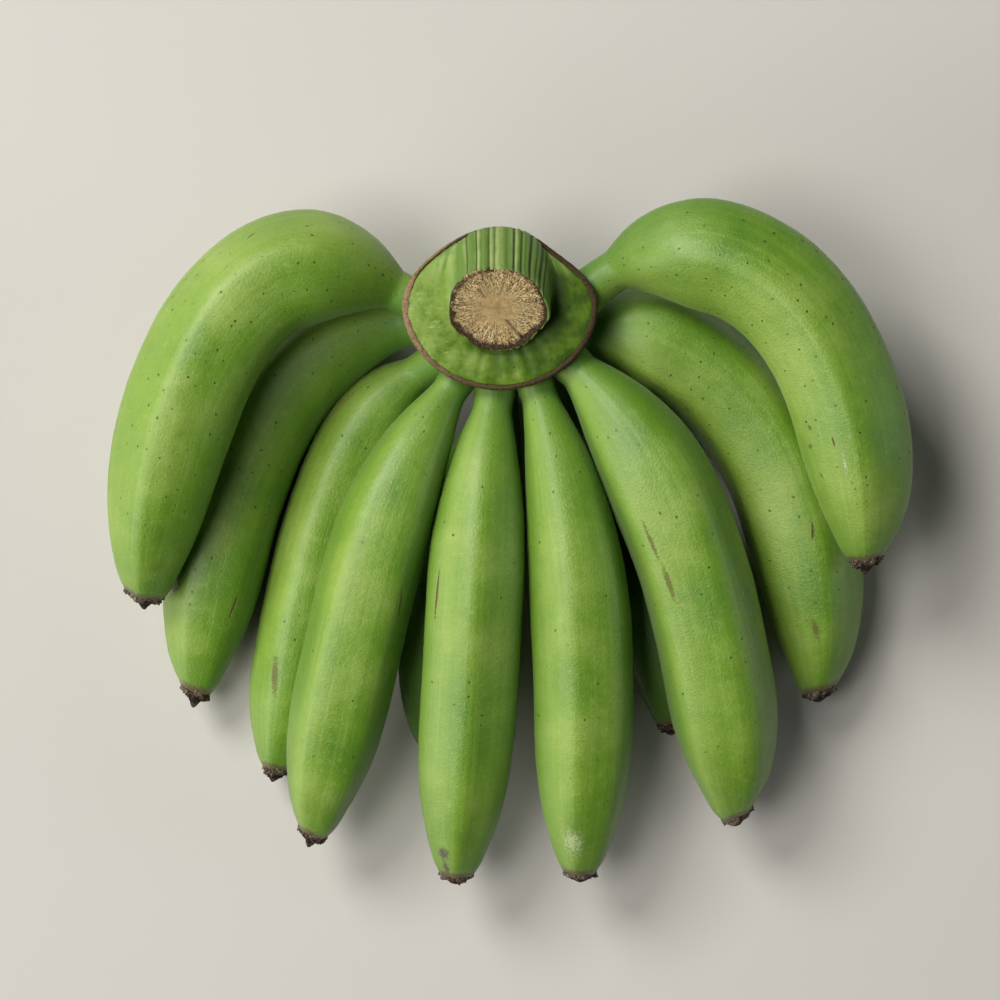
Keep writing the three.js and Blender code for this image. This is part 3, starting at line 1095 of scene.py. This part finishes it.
@dataclass
class Crown:
    """The cushion that carries the fingers: flank, corky rim, folded collar and a ribbed stub with its cut.

    Sizes are in millimetres. The trims and the front's reach are shares of the rim's radii. Each of the
    stub's grooves has a place across it and a depth from 0 to 1.
    """

    foot: tuple[float, float] = (20.0, 17.5)
    rim: tuple[float, float] = RIM
    rim_height: float = 58.0
    back_trim: float = 0.07
    top_trim: float = 0.04
    front_reach: float = 0.035
    stub: float = 17.2
    lean: float = 37.0
    cut_centre: tuple[float, float, float] = (-0.6, -2.3, 71.3)
    ribs: int = 38
    rib_depth: float = 0.65
    folds: int = 29
    fold_depth: float = 0.3
    grooves: tuple[tuple[float, float], ...] = (
        (-14.4, 0.35), (-11.3, 0.85), (-8.1, 1.0), (-6.2, 0.45), (-4.0, 0.9),
        (-1.9, 0.75), (0.6, 0.4), (2.7, 0.35), (4.9, 1.0), (7.5, 0.85),
        (9.0, 0.4), (10.6, 1.0), (12.6, 0.6), (14.3, 1.0), (15.8, 0.9),
    )
    sides: int = 320
    rings: int = 110
    cut_sides: int = 220
    cut_rings: int = 70

    def _flank(self, z: float, share: float, ribs: float, trim: float) -> Station:
        """A level of the flank, a share of the way from the foot's radii to the rim's."""
        rx, ry = (foot + (rim - 1 - foot) * share for foot, rim in zip(self.foot, self.rim))
        return Station(0, z, rx, ry, ribs=ribs, trim=trim)

    def _stub(self, behind: float, radius: float, ribs: float) -> Station:
        """A level of the stub, so far behind its cut face."""
        lean = math.radians(self.lean)
        y = self.cut_centre[1] + math.sin(lean) * behind
        z = self.cut_centre[2] - math.cos(lean) * behind
        return Station(y, z, radius, radius, self.lean, ribs)

    def stations(self) -> Array:
        """The crown's outline from its lower cut up to the stub's cut.

        Counted from 0, stations 1 to 5 are the flank, 6 to 8 the rim, 9 and 10 the collar, 11 to 13 the
        stub, 14 the edge of its cut, and 15 lies hidden inside.

        Returns:
            One row a station.
        """
        rim_x, rim_y = self.rim
        high = self.rim_height
        return np.array([
            station.row()
            for station in [
                Station(0, 0, self.foot[0] - 0.9, self.foot[1] - 0.9, ribs=0.6),
                self._flank(0.9, 0, 1, 0),
                self._flank(12, 0.12, 1, 0),
                self._flank(24, 0.36, 0.5, 0),
                self._flank(36, 0.66, 0, 0.5),
                self._flank(47, 0.9, 0, 1),
                Station(0, high - 3.2, rim_x - 1.3, rim_y - 1.3, folds=0.3, trim=1),
                Station(0, high - 0.9, rim_x - 1.4, rim_y - 1.4, folds=0.3, trim=1),
                Station(0.2, high - 0.1, rim_x - 2.3, rim_y - 2.2, folds=0.6, trim=1),
                Station(1.6, high + 0.3, 29.2, 25.6, folds=1, trim=1),
                Station(4.0, high + 1.0, 22.4, 21.8, folds=1, ribs=0.1, trim=0.7, square=0.5),
                Station(6.4, high + 1.4, 17.7, 20.4, lean=6, ribs=0.9, folds=0.5, square=1),
                self._stub(6.5, self.stub, 1),
                self._stub(0.9, self.stub, 1),
                self._stub(0, self.stub - 0.9, 0.7),
                self._stub(2.6, self.stub - 3.4, 0),
            ]
        ])

    def trimmed(self, angle: Array) -> Array:
        """How far the rim stands back behind and out in front, as a share of its radii."""
        behind = np.sin(angle) > 0
        corner = np.where(np.cos(angle) > 0, self.back_trim * 1.8, self.back_trim)
        back = behind * (corner * np.sin(2 * angle) ** 2 + self.top_trim * np.sin(angle) ** 4)
        return back - self.front_reach * ~behind * np.sin(angle) ** 4

    @staticmethod
    def cut_outline(angle: Array) -> Array:
        """The stub's uneven outline, as a share of its radius."""
        ways = [-13, 16, 48, 72, 100, 127, 156, 177, 200, 214, 226, 240, 262, 296, 322, 347]
        shares = [
            1.03, 0.96, 0.99, 1.0, 1.0, 1.05, 1.02, 1.0,
            1.03, 1.01, 0.94, 1.02, 1.01, 1.01, 0.95, 1.03,
        ]
        return np.interp((np.degrees(angle) + 13) % 360 - 13, ways, shares)

    def _in_grooves(self, across: Array, width: float) -> Array:
        """How deep in the stub's grooves each point across it lies, for grooves of that width."""
        cuts = np.array(self.grooves)
        return (cuts[:, 1] * np.exp(-((across[:, None] - cuts[:, 0]) / width) ** 2)).max(axis=1)

    def build_skin(self, middle: Array) -> bpy.types.Object:
        """Models the green body of the crown.

        Steps count the stations of its outline.

        Args:
            middle: The crown's axis in the frame, in metres.

        Returns:
            The piece.
        """
        piece = tube("crown_skin", self.sides, self.rings)
        raw = corners(piece)
        angle = np.arctan2(raw[:, 1], raw[:, 0])
        steps = np.clip(raw[:, 2] + 0.5, 0, 1) * (len(self.stations()) - 1)
        y, z, rx, ry, lean, ribs, folds, trim, square = run_through(self.stations(), steps).T
        circle = on_circle(angle)
        drift = 0.55 * grain(circle, 2.6, 3) + 0.25 * grain(circle, 7.0, 5)
        groove = (1 - np.abs(np.sin(self.ribs / 2 * angle + 2.4 * drift))) ** 1.6
        across = rx * np.cos(angle)
        wander = 0.25 * grain(np.column_stack([across, steps, steps]), 0.35, 5)
        broad = self._in_grooves(across + wander, 1.1)
        above_rim = steps > 8.5
        groove = np.where(above_rim, self._in_grooves(across + wander, 0.42), groove)
        uneven = np.clip(0.8 + 0.5 * grain(circle, 6.0, 8), 0.3, 1.2)
        shade = grain(np.column_stack([across, steps * 0.1, steps * 0]), 0.55, 14)
        front = smooth(-np.sin(angle), 0.55, 0.95)
        ruffle = np.cos(self.folds * angle + 3 * drift) * (0.7 + 0.6 * grain(circle, 4.0, 11))
        boxy = (np.abs(np.cos(angle)) ** 2.5 + np.abs(np.sin(angle)) ** 2.5) ** -0.4 - 1
        stub_edge = smooth(steps, 11.2, 12.8)
        scale = 1 - trim * self.trimmed(angle) + square * boxy * (np.sin(angle) > 0)
        scale = scale * (1 + stub_edge * (self.cut_outline(angle) - 1))
        inward = ribs * self.rib_depth * (groove * uneven + 0.6 * broad * above_rim)
        tilt = np.radians(lean)
        points = np.column_stack([
            (rx * scale - inward) * np.cos(angle),
            y + (ry * scale - inward) * np.sin(angle) * np.cos(tilt),
            z + (ry * scale - inward) * np.sin(angle) * np.sin(tilt),
        ])
        lumps = grain(points, 0.11, 21)
        inside = smooth(steps, 5.5, 6.5) * smooth(steps, 12.5, 11)
        points[:, 2] += inside * (folds * front * self.fold_depth * ruffle + 0.45 * lumps)
        shape(piece, points, middle)
        behind = smooth(np.sin(angle), 0.2, 0.6)
        stub = smooth(steps, 10.5, 11.3) * (1 - behind) + smooth(steps, 8.9, 9.6) * behind
        low = smooth(steps, 4.0, 2.0)
        collar = smooth(steps, 6.2, 6.9) * (1 - stub)
        # Painted shade between the collar's folds, and in the grooves on the stub
        shade_between_folds = (1 - ruffle) * 0.5 * folds * front
        depth = np.where(stub > 0.3, groove * np.clip(ribs + behind, 0, 1), shade_between_folds)
        mark_mesh(piece, "crown", np.maximum(depth, groove * low), np.maximum(stub, low * 0.8), collar)
        # Where painted shade darkens the corner between the collar and the stub
        corner = smooth(steps, 9.0, 10.6) * smooth(steps, 11.8, 11.0) * (1 - behind)
        mark_mesh(piece, "tint", shade, np.cos(angle), corner)
        return piece

    def build_scar(self, middle: Array) -> bpy.types.Object:
        """Models the corky scar round the rim.

        Args:
            middle: The crown's axis in the frame, in metres.

        Returns:
            The piece.
        """
        bpy.ops.object.select_all(action="DESELECT")
        thin = 0.25
        bpy.ops.mesh.primitive_torus_add(
            major_segments=360, minor_segments=18, major_radius=1.0, minor_radius=thin
        )
        piece = bpy.context.object
        piece.name = "crown_scar"
        raw = corners(piece)
        angle = np.arctan2(raw[:, 1], raw[:, 0])
        out = (np.hypot(raw[:, 0], raw[:, 1]) - 1) / thin
        up = raw[:, 2] / thin
        ways = [0, 40, 75, 120, 150, 172, 192, 215, 270, 320, 360]
        halves = [1.6, 1.4, 0.8, 0.5, 0.7, 1.65, 1.7, 1.25, 0.95, 1.15, 1.6]
        half = np.interp(np.degrees(angle) % 360, ways, halves)
        circle = on_circle(angle)
        nibble = grain(circle, 11, 31) + 0.6 * grain(circle, 34, 33)
        flake = grain(np.column_stack([circle[:, :2] * 30, out + 2 * up]), 1.1, 35)
        half = half * (1 + 0.22 * nibble)
        scale = 1 - self.trimmed(angle)
        reach = -half * 0.85 + half * out + 0.12 * flake
        points = np.column_stack([
            (self.rim[0] * scale + reach) * np.cos(angle),
            (self.rim[1] * scale + reach) * np.sin(angle),
            self.rim_height - 1.5 + (1.5 + 0.25 * nibble) * up + 0.15 * flake,
        ])
        shape(piece, points, middle)
        mark_mesh(piece, "rim", np.cos(angle), -out, up)
        return piece

    def _cut_face(
        self,
        name: str,
        middle: Array,
        centre: Array,
        over: Array,
        normal: Array,
        spans: tuple[float, float],
    ) -> bpy.types.Object:
        """Models a dried cut across the stalk.

        Args:
            name: The piece's name.
            middle: The crown's axis in the frame, in metres.
            centre: The cut's centre, in millimetres.
            over: The direction of its height.
            normal: The direction it faces.
            spans: Half its width and half its height.

        Returns:
            The piece.
        """
        piece = tube(name, self.cut_sides, self.cut_rings)
        raw = corners(piece)
        angle = np.arctan2(raw[:, 1], raw[:, 0])
        t = np.clip(raw[:, 2] + 0.5, 0, 1)
        circle = on_circle(angle)
        ways = [0.0, 0.05, 0.1, 0.17, 0.24, 1.0]
        out = np.interp(t, ways, [1.0, 1.0, 0.985, 0.95, 0.9, 0.012])
        rise = np.interp(t, ways, [-1.4, -0.15, 0.25, 0.2, 0.0, -0.5])
        wander = self.cut_outline(angle) - 1 + 0.012 * grain(circle, 6.0, 43)
        x = out * np.cos(angle)
        y = out * np.sin(angle)
        spoke = np.column_stack([np.cos(angle) * 7, np.sin(angle) * 7, out * 1.5])
        fibre = grain(spoke, 1.3, 45) + 0.6 * grain(spoke, 3.1, 47)
        inside = smooth(out, 0.99, 0.9) * smooth(out, 0.25, 0.6)
        crack = self._crack(x, y, (0.17, -0.28), (0.5, -0.7))
        crack = crack + 0.7 * self._crack(x, y, (-0.36, 0.46), (-0.24, 0.26))
        rise = rise + inside * 0.28 * fibre - 0.8 * crack
        across = np.array([1.0, 0, 0])
        grown = 1 + wander
        points = (
            centre
            + (x * grown * spans[0])[:, None] * across
            + (y * grown * spans[1])[:, None] * over
            + rise[:, None] * normal
        )
        shape(piece, points, middle)
        mark_mesh(piece, "cut", x, y, np.minimum(out + 0.12 * crack, 1))
        return piece

    @staticmethod
    def _crack(x: Array, y: Array, start: tuple[float, float], end: tuple[float, float]) -> Array:
        """How deep a crack between two places on the cut face is at each point, from 0 to 1."""
        run = np.array(end) - np.array(start)
        along = np.clip(((x - start[0]) * run[0] + (y - start[1]) * run[1]) / (run @ run), 0, 1)
        gap = np.hypot(x - start[0] - along * run[0], y - start[1] - along * run[1])
        return smooth(gap, 0.035, 0.008)

    def build_cuts(self, middle: Array) -> tuple[bpy.types.Object, bpy.types.Object]:
        """Models the stub's cut face and the stalk's lower one.

        Args:
            middle: The crown's axis in the frame, in metres.

        Returns:
            The upper and the lower cut.
        """
        lean = math.radians(self.lean)
        over = np.array([0, math.cos(lean), math.sin(lean)])
        normal = np.array([0, -math.sin(lean), math.cos(lean)])
        span = self.stub - 0.5
        upper = self._cut_face("cut_upper", middle, np.array(self.cut_centre), over, normal, (span, span))
        lower = self._cut_face(
            "cut_lower",
            middle,
            np.array([0, 0, 0.1]),
            np.array([0, 1.0, 0]),
            np.array([0, 0, -1.0]),
            (self.foot[0] - 0.8, self.foot[1] - 0.8),
        )
        return upper, lower

    def make(self, middle: Array) -> None:
        """Models and dresses the whole crown.

        Args:
            middle: The crown's axis in the frame, in metres.
        """
        skin = self.build_skin(middle)
        scar = self.build_scar(middle)
        upper, lower = self.build_cuts(middle)
        finishes = [(skin, CrownSkinFinish()), (scar, CorkFinish()), (upper, FRESH_CUT), (lower, DRY_CUT)]
        for piece, finish in finishes:
            hand_over(piece, "crown", finish.make())


# The hand


def hand_of_fingers() -> list[Finger]:
    """The fingers, from the left round the front to the right, and the two behind."""
    return [
        Finger(
            "left_1", Row.OUTER, root=184, launch=(145.2, 75),
            tip=(-125.0, -99.2, 33), arrive=(261, 85.5),
            thick=41.3, slim=0.33, neck=0.08, shoulder=0.29, belly=0.575, blunt=0.39,
            angles=5, roll=-16, nub=3.5, slant=0.1, specks=1.0, ridge_height=0.016, twist=18,
            marks=[
                Mark((0.112, -12), (0.118, -12), 1.1, Tone.SPOT),
                Mark((0.318, -56), (0.332, -52), 0.6, Tone.LINE),
            ],
        ),
        Finger(
            "left_2", Row.LOWER, root=191, launch=(180, 48),
            tip=(-108.7, -134.9, 16), arrive=(263, 99.5),
            thick=36.0, slim=0.46, neck=0.06, shoulder=0.38, belly=0.675, blunt=0.33,
            angles=5, roll=-28, nub=3, slant=0.22, specks=0.45,
            marks=[
                Mark((0.79, 38), (0.84, 35), 0.8, Tone.LINE),
            ],
        ),
        Finger(
            "left_3", Row.LOWER, root=229, launch=(204.5, 42),
            tip=(-80.4, -163.2, 13), arrive=(261, 102.5),
            thick=28.4, slim=0.47, neck=0.1, shoulder=0.275, belly=0.75, blunt=0.355,
            angles=5, roll=-20, nub=1.5,
            marks=[
                Mark((0.765, -24), (0.84, -16), 2.2, Tone.SCAR),
                Mark((0.19, -54), (0.29, -64), 2.6, Tone.SCUFF),
            ],
        ),
        Finger(
            "left_4", Row.FRONT, root=245, launch=(235, 55),
            tip=(-66.3, -184.2, 26), arrive=(257, 104),
            thick=34.5, slim=0.35, neck=0.075, shoulder=0.455, belly=0.69, blunt=0.36,
            angles=5, roll=-32, nub=3, slant=0.2, ridge_height=0.018,
            marks=[
                Mark((0.465, 44), (0.535, 52), 0.9, Tone.LINE),
                Mark((0.17, -80), (0.25, -80), 2.6, Tone.SCUFF),
            ],
        ),
        Finger(
            "centre_left", Row.FRONT, root=269, launch=(261.3, 69),
            tip=(-15.4, -198.8, 27), arrive=(265, 102.5),
            thick=34.9, slim=0.385, neck=0.085, shoulder=0.44, belly=0.665, blunt=0.39,
            angles=6, roll=-3, nub=1,
            marks=[
                Mark((0.39, -48), (0.49, -50), 0.8, Tone.LINE),
                Mark((0.935, -31), (0.96, -28), 4.4, Tone.SCAB),
                Mark((0.965, -30), (0.995, -24), 2.4, Tone.SCAB),
            ],
        ),
        Finger(
            "centre_right", Row.FRONT, root=294, launch=(286.5, 44.5),
            tip=(28.3, -198.1, 27), arrive=(267.5, 108.5),
            thick=35.1, slim=0.355, neck=0.075, shoulder=0.535, belly=0.655, blunt=0.375,
            angles=6, roll=-14, nub=1,
            marks=[
                Mark((0.90, -20), (0.95, -16), 6.0, Tone.PALE),
            ],
        ),
        Finger(
            "right_3", Row.FRONT, root=318, launch=(319.5, 47),
            tip=(84, -177.6, 26), arrive=(277, 95),
            thick=38.2, slim=0.36, neck=0.07, shoulder=0.38, belly=0.725, blunt=0.345,
            angles=5, roll=30, nub=1.5, slant=-0.35, specks=0.2,
            marks=[
                Mark((0.385, -36), (0.455, -34), 1.4, Tone.SCAR),
                Mark((0.47, -32), (0.54, -30), 1.9, Tone.SCAR),
            ],
        ),
        Finger(
            "right_2", Row.LOWER, root=337, launch=(8, 44),
            tip=(113.9, -134.8, 17), arrive=(271.5, 103),
            thick=40.4, slim=0.38, neck=0.045, shoulder=0.22, belly=0.63, blunt=0.33,
            angles=5, roll=22, nub=1, slant=-0.25, specks=0.45, ridge_height=0.016, twist=-30,
            marks=[
                Mark((0.665, 10), (0.70, 6), 0.9, Tone.LINE),
                Mark((0.855, -7), (0.895, -3), 1.9, Tone.SCAR),
                Mark((0.305, -50), (0.34, -53), 0.8, Tone.SCAR),
            ],
        ),
        Finger(
            "right_1", Row.OUTER, root=-4, launch=(52, 49),
            tip=(128, -86.9, 43), arrive=(271, 113),
            thick=39.4, slim=0.37, neck=0.118, shoulder=0.32, belly=0.705, blunt=0.34,
            angles=5, roll=-9, nub=3, slant=-0.18,
            specks=0.8, shade=0.55, neck_painted_shade=0.9, ridge_height=0.016,
            marks=[
                Mark((0.715, -56), (0.725, -56), 1.6, Tone.SCAR),
                Mark((0.755, -62), (0.765, -62), 1.8, Tone.SCAR),
                Mark((0.745, -30), (0.765, -30), 0.9, Tone.LINE),
                Mark((0.78, -22), (0.82, -22), 1.2, Tone.PALE),
                Mark((0.815, -58), (0.83, -56), 0.8, Tone.SCAR),
            ],
        ),
        Finger(
            "back_left", Row.BACK, root=277, launch=(263, 44),
            tip=(-24, -155, 12.5), arrive=(277, 44),
            thick=29.5, slim=0.395, neck=0.09, shoulder=0.4, belly=0.6, blunt=0.37,
            angles=5, roll=-60, nub=1.5,
        ),
        Finger(
            "back_right", Row.BACK, root=305, launch=(304, 33),
            tip=(61, -147, 12.5), arrive=(275, 52),
            thick=29.5, slim=0.395, neck=0.09, shoulder=0.4, belly=0.6, blunt=0.37,
            angles=5, roll=20, nub=1,
        ),
    ]


# The studio


@dataclass
class Studio:
    """A pale floor, soft light from the upper left and a camera that looks straight down, in metres."""

    floor_size: float = 6.0
    aim_height: float = 0.04
    room_light: float = 0.01
    height: float = 1.24
    below_crown: float = 0.0672
    lens: float = 123.4

    def floor(self) -> None:
        """Lays the floor."""
        bpy.ops.object.select_all(action="DESELECT")
        bpy.ops.mesh.primitive_plane_add(size=self.floor_size)
        piece = bpy.context.object
        piece.name = "floor"
        sh = Shader("pale_floor")
        clouds = sh.noise(sh.place(), 3.0, 2, 0.5)
        colour = sh.mix(clouds, srgb(202, 199, 194), srgb(208, 205, 200))
        piece.data.materials.append(sh.surface(Base_Color=colour, Roughness=0.85, Specular_IOR_Level=0.1))

    def lamp(
        self, name: str, place: tuple[float, float, float], size: float, power: float, colour: Colour
    ) -> None:
        """Hangs a soft square lamp that faces the hand.

        Args:
            name: The lamp's name.
            place: Where it hangs, in metres.
            size: Its side.
            power: Its power in watts.
            colour: Its colour.
        """
        data = bpy.data.lights.new(name, "AREA")
        data.shape = "SQUARE"
        data.size = size
        data.energy = power
        data.color = colour
        lamp = bpy.data.objects.new(name, data)
        lamp.location = place
        way = Vector((0, 0, self.aim_height)) - Vector(place)
        lamp.rotation_euler = way.to_track_quat("-Z", "Y").to_euler()
        bpy.context.scene.collection.objects.link(lamp)

    def light(self) -> None:
        """Sets the lamps and the room's own light."""
        self.lamp("key", (-1.18, 1.26, 1.71), 1.0, 44, (1.0, 0.98, 0.94))
        self.lamp("top", (-1.1, -0.12, 2.17), 1.1, 26, (1.0, 0.98, 0.94))
        self.lamp("left", (-2.08, -0.88, 0.86), 1.1, 21, (1.0, 0.98, 0.95))
        self.lamp("right", (2.25, 0.0, 0.86), 1.0, 7, (0.98, 0.99, 1.0))
        world = bpy.data.worlds.new("room")
        world.use_nodes = True
        back = world.node_tree.nodes["Background"]
        back.inputs["Color"].default_value = (1.0, 0.99, 0.97, 1.0)
        back.inputs["Strength"].default_value = self.room_light
        scene = bpy.context.scene
        scene.world = world
        scene.view_settings.view_transform = "Standard"

    def camera(self, middle: Array) -> None:
        """Puts the camera over the hand.

        Args:
            middle: The crown's axis in the frame, in metres.
        """
        data = bpy.data.cameras.new("camera")
        data.lens = self.lens
        data.sensor_width = 36.0
        camera = bpy.data.objects.new("camera", data)
        camera.location = (middle[0], middle[1] - self.below_crown, self.height)
        bpy.context.scene.collection.objects.link(camera)
        bpy.context.scene.camera = camera


def main() -> None:
    """Builds the crown, the fingers and their dry ends in order, then the studio."""
    logging.basicConfig(level=logging.INFO, format="%(message)s")
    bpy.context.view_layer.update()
    low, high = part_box("crown")
    crown = Crown()
    middle = np.array([(low[0] + high[0]) / 2, low[1] + crown.rim[1] * MM, 0.0])
    crown.make(middle)
    dry = DryFinish().make()
    for seed, finger in enumerate(hand_of_fingers(), start=1):
        piece = finger.build(middle, seed)
        # The fingers behind wear the darker copy of the peel, with painted shade
        finish = SHADED_PEEL if finger.row is Row.BACK else PeelFinish()
        hand_over(piece, "finger_" + finger.name, finish.make(finger, seed))
        remnant = finger.build_remnant(middle, seed)
        hand_over(remnant, "tip_" + finger.name, dry)
    studio = Studio()
    studio.floor()
    studio.light()
    studio.camera(middle)


if __name__ == "__main__":
    main()
